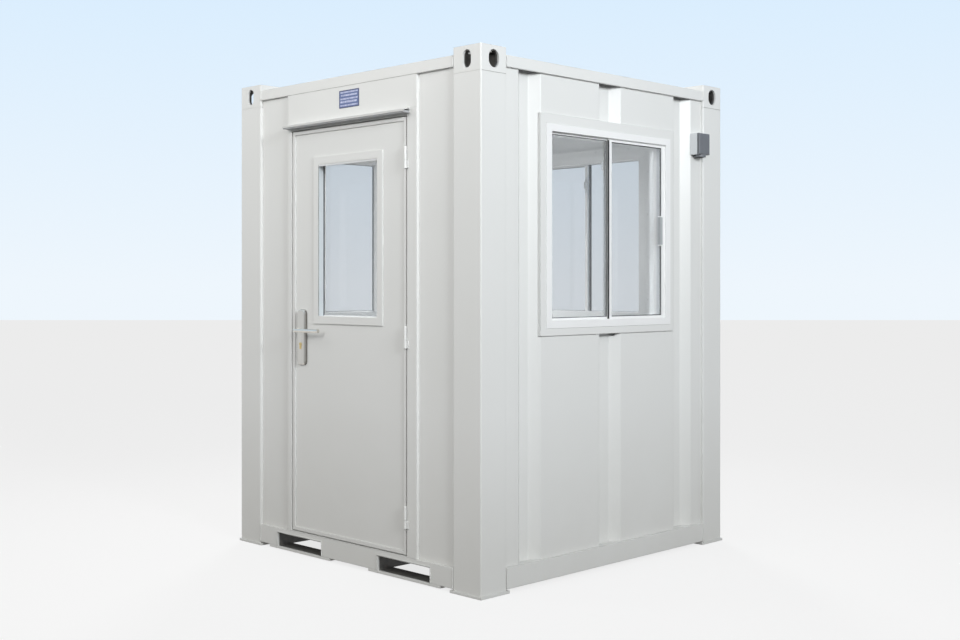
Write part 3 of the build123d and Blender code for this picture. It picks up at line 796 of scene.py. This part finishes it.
# %% Latches
LATCH_HEIGHT = 1.96
LATCH_BASE = (0.017, 0.088)  # width and height
LATCH_BASE_THICK = 0.005
LATCH_LEVER = (0.016, 0.042)
LATCH_STAND = 0.018
LATCH_TAPER = 0.7

for wall in windowed:
    middle = on_wall(wall, "window_sash")[0][0] + SASH_STILE / 2
    foot = STILE_BACK + LATCH_BASE_THICK
    tip = STILE_BACK + LATCH_STAND
    for name, (width, tall), y, radius in (
        ("latch_base", LATCH_BASE, (STILE_BACK, foot), 0.0065),
        ("latch_lever", LATCH_LEVER, (foot, tip), 0.005),
    ):
        shape = bmesh.new()
        add_rounded(shape, around(middle, width), y, around(LATCH_HEIGHT, tall), radius)
        for vertex in shape.verts:
            if vertex.co.y > tip - 0.001:
                vertex.co.x = middle + (vertex.co.x - middle) * LATCH_TAPER
        soften(shape, 0.0012)
        stand_up(shape, wall, name, "pale_moulding")

# %% [markdown]
# The track behind the sash has a grey liner: painted shade for the shade that the sash's
# stile casts in the track. Behind it, a white board lines the opening and ends in a flat
# casing on the room side, which hides the edge of the lining.

# %% Track liners with painted shade, and casings
LIP_SIDE = 0.048  # from the frame's edge to its lip
LIP_HEAD = 0.043
LIP_SILL = 0.046
SHADE_LINER = 0.0012
SHADE_LINER_DEPTH = (0.0385, 0.0575)
CASING_WIDTH = 0.035
CASING_BACK = 0.104

for wall in windowed:
    frame_x, frame_y, frame_z = on_wall(wall, "window_frame")
    lining_back = on_wall(wall, "wall_lining")[1][1]
    lip_x = inside(frame_x, LIP_SIDE)
    lip_z = (frame_z[0] + LIP_SILL, frame_z[1] - LIP_HEAD)
    shape = bmesh.new()
    add_ring(shape, lip_x, lip_z, inside(lip_x, SHADE_LINER), inside(lip_z, SHADE_LINER), SHADE_LINER_DEPTH)
    # The liner's grey is painted shade.
    stand_up(shape, wall, "track_liner", "pale_moulding")
    shape = bmesh.new()
    add_ring(shape, frame_x, frame_z, lip_x, lip_z, (frame_y[1], CASING_BACK))
    outer = (inside(frame_x, -CASING_WIDTH), inside(frame_z, -CASING_WIDTH))
    add_ring(shape, *outer, frame_x, frame_z, (lining_back, CASING_BACK))
    soften(shape, 0.0015)
    stand_up(shape, wall, "window_casing", "lining_board")

# %% [markdown]
# ## The grooves in the walls
#
# Each wall sheet has three pressed grooves that run up under the top rail. A thin black plate
# closes every groove there, and the middle one under the window too: painted shade for the
# shade in the groove's end. Each plate has the groove's outline in plan, so it shows from
# below as a dark wedge.

# %% Painted shade at the grooves' ends
GROOVES = ((-0.585, 0.0750), (-0.008, 0.0825), (0.585, 0.0750))  # middle, half the mouth
GROOVE_SLOPE = 0.045
GROOVE_FRONT = 0.0155
GROOVE_BACK = 0.0545
NOTCH_BACK = 0.0345
SHADE_PLATE = 0.0015
SHADE_PLATE_GAP = 0.001  # to each side of the groove


def add_shade_plate(shape, groove, back, top):
    """A thin plate that fills a groove's plan, from the sheet's face to a depth."""
    middle, half = groove
    slope = GROOVE_SLOPE * (back - GROOVE_FRONT) / (GROOVE_BACK - GROOVE_FRONT)
    plan = (
        (middle - half + SHADE_PLATE_GAP, GROOVE_FRONT),
        (middle + half - SHADE_PLATE_GAP, GROOVE_FRONT),
        (middle + half - slope - SHADE_PLATE_GAP, back),
        (middle - half + slope + SHADE_PLATE_GAP, back),
    )
    add_prism(shape, *[[(px, py, height) for px, py in plan] for height in (top - SHADE_PLATE, top)])


for wall in windowed:
    rail_base = on_wall(wall, "top_rail")[2][0]
    surround_base = on_wall(wall, "window_surround")[2][0]
    shape = bmesh.new()
    for groove in GROOVES:
        add_shade_plate(shape, groove, GROOVE_BACK, rail_base)
    add_shade_plate(shape, GROOVES[1], NOTCH_BACK, surround_base)
    # The plates are black: painted shade.
    stand_up(shape, wall, "groove_closures", "rubber")

# %% [markdown]
# ## The door
#
# The leaf closes against a rubber seal on the frame's stop: a soft bead, drawn as three
# rounded strips, two jambs and the head. It rides on the booth, not on the leaf.

# %% Door seal
SEAL = 0.005  # the bead's width and thickness
SEAL_BEHIND = 0.001  # the leaf
SEAL_LOCK_SIDE = 0.001  # in from the leaf's edges
SEAL_HINGE_SIDE = 0.004
SEAL_HEAD = 0.003

x, y, z = on_wall("front", "door_leaf")
seal_y = (y[1] + SEAL_BEHIND, y[1] + SEAL_BEHIND + SEAL)
lock_side = (x[0] + SEAL_LOCK_SIDE, x[0] + SEAL_LOCK_SIDE + SEAL)
hinge_side = (x[1] - SEAL_HINGE_SIDE - SEAL, x[1] - SEAL_HINGE_SIDE)
head = ((lock_side[1], hinge_side[0]), seal_y, (z[1] - SEAL_HEAD - SEAL, z[1] - SEAL_HEAD))
strips = [(lock_side, seal_y, z), (hinge_side, seal_y, z), head]
blocks("front", "door_seal", "pale_rubber", strips, 0.0018)

# %% [markdown]
# The door's pane sits between gaskets: a dark one up the lock's side, pale ones elsewhere
# and a broader pale bead across the head. A thin grey strip lines the sleeve up each side,
# with a joint where it meets the trim's face.

# %% Door glazing gaskets and reveal
TRIM_SLEEVE = 0.006
PANE_GASKET = 0.004
OUTER_DEPTH = 0.004
INNER_DEPTH = 0.003
REVEAL = 0.0012
JOINT = 0.0022
JOINT_BEHIND = 0.001  # the trim's face
HEAD_BEAD = 0.009

x, y, z = on_wall("front", "door_glass")
trim_face = on_wall("front", "door_outer_trim")[1][0]
pane_x, pane_z = inside(x, TRIM_SLEEVE), inside(z, TRIM_SLEEVE)
outside_y = (y[0] - OUTER_DEPTH, y[0])
inside_y = (y[1], y[1] + INNER_DEPTH)
joint_y = (trim_face + JOINT_BEHIND, trim_face + JOINT_BEHIND + JOINT)
dark, pale, reveals = bmesh.new(), bmesh.new(), []
for edge, way, side in ((pane_x[0], 1, dark), (pane_x[1], -1, pale)):
    wide = sorted((edge, edge + way * PANE_GASKET))
    thin = sorted((edge, edge + way * REVEAL))
    add_block(side, wide, outside_y, pane_z)
    add_block(side, thin, joint_y, pane_z)
    add_block(pale, wide, inside_y, pane_z)
    reveals.append((thin, (joint_y[1], outside_y[0]), pane_z))
for edge, way in ((pane_z[0], 1), (pane_z[1], -1)):
    high = sorted((edge, edge + way * PANE_GASKET))
    add_block(pale, inside(pane_x, PANE_GASKET), outside_y, high)
    add_block(pale, inside(pane_x, PANE_GASKET), inside_y, high)
add_block(pale, inside(pane_x, REVEAL), joint_y, (pane_z[1] - HEAD_BEAD, pane_z[1]))
soften(dark, 0.0005, 1)
soften(pale, 0.0008)
stand_up(dark, "front", "door_side_gaskets", "rubber", "door")
stand_up(pale, "front", "door_gaskets", "white_rubber", "door")
blocks("front", "door_reveal", "reveal_strip", reveals, body="door")

# %% [markdown]
# Two more dark parts belong to the doorway, both painted shade: a grey strip in the hollow
# of the drip rail, for the shade under the rail, and a thin dark rubber outline under the
# outer handle plate, for the shade along the plate's edge.

# %% Painted shade under the drip rail and round the handle plate
RAIL_SHEET = 0.0035
RAIL_END = 0.002
SHADE_STRIP_DROP = 0.0005  # below the rail
SHADE_STRIP_HEIGHT = 0.009  # above the rail's foot
OUTLINE_EDGE = 0.0016
OUTLINE_THICK = 0.0012
PLATE_CORNER = 0.022

x, y, z = on_wall("front", "drip_rail")
# A grey strip in the rail's hollow: painted shade.
shade_strip = (inside(x, RAIL_END), inside(y, RAIL_SHEET), (z[0] - SHADE_STRIP_DROP, z[0] + SHADE_STRIP_HEIGHT))
blocks("front", "drip_rail_seal", "pale_rubber", [shade_strip])
# A dark rubber outline round the plate: painted shade at its edge.
x, y, z = [inside(limits, -OUTLINE_EDGE) for limits in on_wall("front", "outer_handle_plate")]
wall_side = y[1] - OUTLINE_EDGE
shape = bmesh.new()
add_rounded(shape, x, (wall_side - OUTLINE_THICK, wall_side), z, PLATE_CORNER, 8)
stand_up(shape, "front", "handle_plate_gasket", "rubber", "door")

# %% [markdown]
# The lock cylinder gets the dark slot of its key on each face: a sliver that stands a fifth
# of a millimetre proud, so it never flickers with the brass behind it.

# %% Key slots
KEY_HEIGHT = 1.076
KEY_SLOT = (0.0022, 0.008)
KEY_PROUD = 0.0002

x, (front, back), _ = on_wall("front", "lock_cylinder")
key_x = around((x[0] + x[1]) / 2, KEY_SLOT[0])
shape = bmesh.new()
for y in ((front - KEY_PROUD, front), (back, back + KEY_PROUD)):
    add_rounded(shape, key_x, y, around(KEY_HEIGHT, KEY_SLOT[1]), 0.001, 2)
stand_up(shape, "front", "key_slots", "dark_moulding", "door")

# %% [markdown]
# ## Screws
#
# Screws repeat, so one Geometry Nodes tree puts a low dome with a sunken socket on every
# point of a cloud. The head is a twelve-sided cylinder whose top is extruded three times: up
# into a dome, level into a lip and down into the socket. The tree's inputs are the head's
# sizes, the way the heads face and the finish.

# %% Helpers for geometry trees
def new_tree(name, inputs):
    """A geometry tree and its inputs' sockets; a float is given by its default value."""
    tree = bpy.data.node_groups.new(name, "GeometryNodeTree")
    for label, value in {"Geometry": "Geometry", **inputs}.items():
        kind = value if isinstance(value, str) else "Float"
        socket = tree.interface.new_socket(label, socket_type="NodeSocket" + kind)
        if kind == "Float":
            socket.default_value = value
    tree.interface.new_socket("Geometry", in_out="OUTPUT", socket_type="NodeSocketGeometry")
    return tree, tree.nodes.new("NodeGroupInput").outputs


def close_tree(tree, given, shape):
    """End a tree with real geometry and its finish."""
    real = step(tree, "RealizeInstances", shape)
    coat = step(tree, "SetMaterial", Geometry=real, Material=given["Finish"])
    add_node(tree, "NodeGroupOutput", coat)
    print(tree.name, "tree with", len(tree.nodes), "nodes")


def grow(tree, points, edges, name, finish, body, **values):
    """Run a tree on a drawing and dress the plain mesh that it makes."""
    drawing = bpy.data.meshes.new("drawing")
    drawing.from_pydata(points, edges, [])
    holder = add_object("drawing", drawing)
    modifier = holder.modifiers.new("make", "NODES")
    modifier.node_group = tree
    values["Finish"] = finishes[finish][0]
    for item in tree.interface.items_tree:
        key = item.name.replace(" ", "_")
        if item.item_type == "SOCKET" and item.in_out == "INPUT" and key in values:
            modifier[item.identifier] = values[key]
    view = bpy.context.evaluated_depsgraph_get()
    mesh = bpy.data.meshes.new_from_object(holder.evaluated_get(view), depsgraph=view)
    holder.modifiers.remove(modifier)
    bpy.data.objects.remove(holder)
    dress(mesh, name, finish, body)


# %% A tree that puts screw heads on points
SCREW_STEPS = ((0.0003, 0.8), (0.0, 0.55), (-0.0012, None))  # rise, then scale of the face

screws, given = new_tree(
    "screw_heads",
    {"Head Radius": 0.004, "Head Height": 0.0015, "Facing": "Vector", "Finish": "Material"},
)
radius, depth = given["Head Radius"], given["Head Height"]
head = add_node(
    screws, "MeshCylinder", Vertices=12, Radius=radius, Depth=depth
).outputs
mesh, face = head["Mesh"], head["Top"]
for rise, scale in SCREW_STEPS:
    raised = add_node(
        screws, "ExtrudeMesh", mesh, face, mode="FACES", Offset_Scale=rise
    ).outputs
    mesh, face = raised["Mesh"], raised["Top"]
    if scale:
        mesh = step(screws, "ScaleElements", mesh, face, scale)
turn = step(screws, "FunctionNodeEulerToRotation", given["Facing"])
placed = step(
    screws, "InstanceOnPoints", given["Geometry"], Instance=mesh, Rotation=turn
)
close_tree(screws, given, placed)

# %% [markdown]
# The points are drawn on the wall like everything else, and the heads face into the cabin:
# two on the door's inner plate and four along each side of a window's casing.

# %% Screws on the inner handle plate and the casings
PLATE_SCREW = 0.0042
PLATE_SCREW_INSET = 0.020
CASING_SCREW = 0.0035
CASING_SCREWS = 4
SCREW_STAND = 0.0004  # of a head's middle off its seat


def screw_row(name, wall, spots, radius, body):
    """Screw heads at spots on a wall's drawing, facing into the cabin."""
    facing = (radians(-90), 0, walls[wall].to_euler().z)
    sizes = {"Head_Radius": radius, "Facing": facing}
    grow(screws, off_wall(wall, spots), [], name, "zinc_screws", body, **sizes)


x, y, z = on_wall("front", "inner_handle_plate")
middle, face = (x[0] + x[1]) / 2, y[1] + SCREW_STAND
spots = [(middle, face, height) for height in inside(z, PLATE_SCREW_INSET)]
screw_row("plate_screws", "front", spots, PLATE_SCREW, "door")

face = CASING_BACK + SCREW_STAND
for wall in windowed:
    frame_x, _, frame_z = on_wall(wall, "window_frame")
    row_x, row_z = inside(frame_x, -CASING_WIDTH / 2), inside(frame_z, -CASING_WIDTH / 2)
    spots = []
    for k in range(CASING_SCREWS):
        share = (k + 0.5) / CASING_SCREWS
        x = frame_x[0] + share * (frame_x[1] - frame_x[0])
        z = frame_z[0] + share * (frame_z[1] - frame_z[0])
        spots += [(x, face, row) for row in row_z] + [(row, face, z) for row in row_x]
    screw_row(f"{wall}_casing_screws", wall, spots, CASING_SCREW, "booth")

# %% [markdown]
# ## Weld beads
#
# The steel members are welded where they meet, and painted over. A second tree follows a
# drawing of lines: each is resampled every few millimetres, and a six-sided tube runs along
# it whose radius rises and falls once per ripple, with a little noise from a fixed seed, as
# the puddles of a hand weld do.

# %% A tree that runs a rippled bead along lines
RIPPLE_TURN = 2.1  # radians a step

beads, given = new_tree(
    "weld_beads",
    {"Bead Radius": 0.003, "Step": 0.003, "Ripple": 0.18, "Seed": 7.0, "Finish": "Material"},
)
line = step(beads, "MeshToCurve", given["Geometry"])
curve = step(beads, "ResampleCurve", line, mode="LENGTH", Length=given["Step"])
count = step(beads, "InputIndex")
wave = maths("SINE", maths("MULTIPLY", count, RIPPLE_TURN))
place = step(beads, "InputPosition")
seed = given["Seed"]
rough = step(beads, "ShaderNodeTexNoise", place, seed, 90.0, 2.0, noise_dimensions="4D")
both = maths("ADD", wave, rough)
swell = maths("MULTIPLY_ADD", both, given["Ripple"], 1.0)
size = maths("MULTIPLY", swell, given["Bead Radius"])
ring = step(beads, "CurvePrimitiveCircle", Resolution=6, Radius=1.0)
tube = step(beads, "CurveToMesh", curve, ring, size, True)
close_tree(beads, given, tube)


def bead_row(name, lines, radius, ripple, seed, finish):
    """Beads along a list of straight lines, as one mesh on the booth."""
    points = [tuple(end) for line in lines for end in line]
    edges = [(k, k + 1) for k in range(0, len(points), 2)]
    sizes = {"Bead_Radius": radius, "Ripple": ripple, "Seed": seed}
    grow(beads, points, edges, name, finish, "booth", **sizes)


# %% [markdown]
# The drawing of the lines follows the members: the foot of every post, on its +X and +Y
# sides, both ends of every rail, and the mouths of the fork pockets. Finer, ground-down
# beads mark where each post's casting starts and the joint over the front's panels. A
# post's beads are laid in two passes, whose ripples don't fall together.

# %% Weld beads on the steel frame
WELD_RADIUS = 0.0026
FINE_RADIUS = 0.0012
WELD_SEAT = 0.0008  # from a bead's middle to the corner it fills
RAIL_SINK = 0.0005  # of a rail's bead into its face
RAIL_WELD_END = 0.004
POST_EDGE = 0.005
POST_PASSES = 2
FORK_MOUTH = 0.375
FORK_STAND = 0.0004
FORK_FOOT = 0.003


def post_lines(low, high, z):
    """Lines along the +Y and +X sides of a post at a height."""
    ends_x = inside((low.x, high.x), POST_EDGE)
    ends_y = inside((low.y, high.y), POST_EDGE)
    behind = [(x, high.y + WELD_SEAT, z) for x in ends_x]
    beside = [(high.x + WELD_SEAT, y, z) for y in ends_y]
    return [behind] * POST_PASSES + [beside] * POST_PASSES


lines = []
joints = []
for post in ("front_left", "front_right", "back_left", "back_right"):
    low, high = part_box(f"{post}_post")
    lines += post_lines(low, high, low.z + WELD_SEAT)
    joints += post_lines(low, high, high.z)
for wall in walls:
    for rail in ("bottom_rail", "top_rail"):
        x, y, z = on_wall(wall, rail)
        face = y[0] - WELD_SEAT + RAIL_SINK
        heights = inside(z, RAIL_WELD_END)
        for end in inside(x, WELD_SEAT):
            lines.append(off_wall(wall, [(end, face, height) for height in heights]))
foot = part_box("front_bottom_rail")[0].z + FORK_FOOT
for side in ("left", "right"):
    low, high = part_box(f"{side}_fork_pocket")
    mouth = around((low.x + high.x) / 2, FORK_MOUTH)
    for y in inside((low.y, high.y), -FORK_STAND):
        lines.append([(x, y, high.z) for x in mouth])
        lines += [((x, y, foot), (x, y, high.z)) for x in mouth]
header_x, header_y, header_z = on_wall("front", "header")
joints.append(off_wall("front", [(x, header_y[0], header_z[1]) for x in header_x]))
bead_row("frame_welds", lines, WELD_RADIUS, 0.2, 7.0, "booth_paint")
bead_row("joint_beads", joints, FINE_RADIUS, 0.05, 5.0, "weathered_joint")

# %% [markdown]
# The windows' surrounds are sealed to the sheets, where these lie flat, with a smooth bead
# of painted sealant: the same tree with the ripple turned down.

# %% Sealant round the windows
SHEET_FACE = 0.015

lines = []
for wall in windowed:
    x, _, z = on_wall(wall, "window_surround")
    middle, half = GROOVES[1]
    left_flat = (GROOVES[0][0] + GROOVES[0][1], middle - half)
    right_flat = (middle + half, x[1])
    for height in inside(z, -WELD_SEAT):
        for flat in (left_flat, right_flat):
            lines.append(off_wall(wall, [(end, SHEET_FACE, height) for end in flat]))
    side = x[1] + WELD_SEAT
    lines.append(off_wall(wall, [(side, SHEET_FACE, height) for height in z]))
bead_row("window_sealant", lines, 0.0022, 0.05, 3.0, "booth_paint")

# %% [markdown]
# ## The label plate
#
# A small printed plate sits over the door: a blue-grey field in a dark rim, with five plain
# pale rows where a maker would put words. It is a finish on a bare plate: every row is a
# pair of bands over height and width, and a fine noise breaks its tone as worn print does.

# %% Label plate
LABEL_X = around(0.004, 0.153)
LABEL_MIDDLE = 2.288
LABEL_Z = around(LABEL_MIDDLE, 0.087)
LABEL_RIM = 0.0045
LABEL_THICK = 0.0012
LABEL_FIELD = (0.11, 0.15, 0.33)
LABEL_DARK = (0.075, 0.085, 0.16)
LABEL_PALE = (0.60, 0.63, 0.82)
LABEL_ROWS = (  # height of the middle, thickness, left and right margins
    (0.033, 0.007, 0.006, 0.006),
    (0.018, 0.008, 0.010, 0.010),
    (0.001, 0.008, 0.006, 0.006),
    (-0.014, 0.010, 0.006, 0.012),
    (-0.031, 0.007, 0.006, 0.006),
)


def label_print():
    finish, tree, shader = new_finish("label_print", LABEL_FIELD, 0.35)
    axes = object_axes(tree)

    def area(x, z):
        """1 inside a rectangle of the plate."""
        across, up = within(axes["X"], *x), within(axes["Z"], *z)
        return maths("MULTIPLY", across, up)

    field_x, field_z = inside(LABEL_X, LABEL_RIM), inside(LABEL_Z, LABEL_RIM)
    rows = None
    for middle, thickness, left, right in LABEL_ROWS:
        row_x = (field_x[0] + left, field_x[1] - right)
        row = area(row_x, around(LABEL_MIDDLE + middle, thickness))
        rows = maths("MAXIMUM", rows, row) if rows else row
    worn = maths("MULTIPLY", rows, patches(tree, 90, 3, 0.45, 1.0, (0.35, 0.65)))
    printed = blended(worn, LABEL_FIELD, LABEL_PALE)
    colour = blended(area(field_x, field_z), LABEL_DARK, printed)
    drive(shader, Base_Color=colour, Roughness=patches(tree, 60, 3, 0.32, 0.46))
    return finish


finishes["label_print"] = (label_print(), "white_plastic")
shape = bmesh.new()
add_rounded(shape, LABEL_X, (header_y[0] - LABEL_THICK, header_y[0]), LABEL_Z, 0.002)
soften(shape, 0.0003, 1)
stand_up(shape, "front", "label_plate", "label_print")

# %% [markdown]
# ## The power inlet
#
# The collar under the box holds a dark disc with three round pins, where the supply plugs
# in. It is seen only from below, up the collar's mouth.

# %% Inlet insert
INSERT_RADIUS = 0.0246
INSERT_THICK = 0.004
INSERT_DOWN = 0.005  # from the collar's top
PIN_RADIUS = 0.0035
PIN_CIRCLE = 0.0125
PIN_LENGTH = 0.022


def add_rod(shape, x, y, top, radius, length, segments):
    """An upright cylinder that hangs from a height."""
    bmesh.ops.create_cone(
        shape,
        cap_ends=True,
        segments=segments,
        radius1=radius,
        radius2=radius,
        depth=length,
        matrix=Matrix.Translation((x, y, top - length / 2)),
    )


socket_low, socket_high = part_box("power_inlet_socket")
middle = (socket_low + socket_high) / 2
top = socket_high.z - INSERT_DOWN
shape = bmesh.new()
add_rod(shape, middle.x, middle.y, top, INSERT_RADIUS, INSERT_THICK, 24)
stand_up(shape, None, "inlet_insert", "dark_moulding")
shape = bmesh.new()
for k in range(3):
    angle = radians(90 + 120 * k)
    x = middle.x + PIN_CIRCLE * cos(angle)
    y = middle.y + PIN_CIRCLE * sin(angle)
    add_rod(shape, x, y, top - INSERT_THICK, PIN_RADIUS, PIN_LENGTH, 12)
soften(shape, 0.0008, 1)
stand_up(shape, None, "inlet_pins", "turned_brass")

# %% [markdown]
# ## Inside the cabin
#
# Through the glass one sees a plain lined room: board on the walls, with cover strips over
# the joints, and a skirting along the floor. The strips are long bevelled blocks.

# %% Skirting and cover strips
SKIRTING_HEIGHT = 0.070
SKIRTING_PROUD = 0.008
STRIP_WIDTH = 0.030
STRIP_PROUD = 0.003
STRIP_PLACES = (-0.30, 0.28)

floor_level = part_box("floor_deck")[1].z
skirting_z = (floor_level, floor_level + SKIRTING_HEIGHT)
for wall in windowed:
    lining_x, (_, back), lining_z = on_wall(wall, "wall_lining")
    casing_z = inside(on_wall(wall, "window_frame")[2], -CASING_WIDTH)
    boxes = [(lining_x, (back, back + SKIRTING_PROUD), skirting_z)]
    for place in STRIP_PLACES:
        x, y = around(place, STRIP_WIDTH), (back, back + STRIP_PROUD)
        boxes.append((x, y, (skirting_z[1], casing_z[0])))
        boxes.append((x, y, (casing_z[1], lining_z[1])))
    blocks(wall, "skirting", "white_coat", boxes, 0.001)

# %% [markdown]
# ## The CAD's box
#
# The box of the CAD model, measured before anything was added, is printed again.

# %% Print the CAD's box
print("CAD", tuple(cad_low), tuple(cad_high))
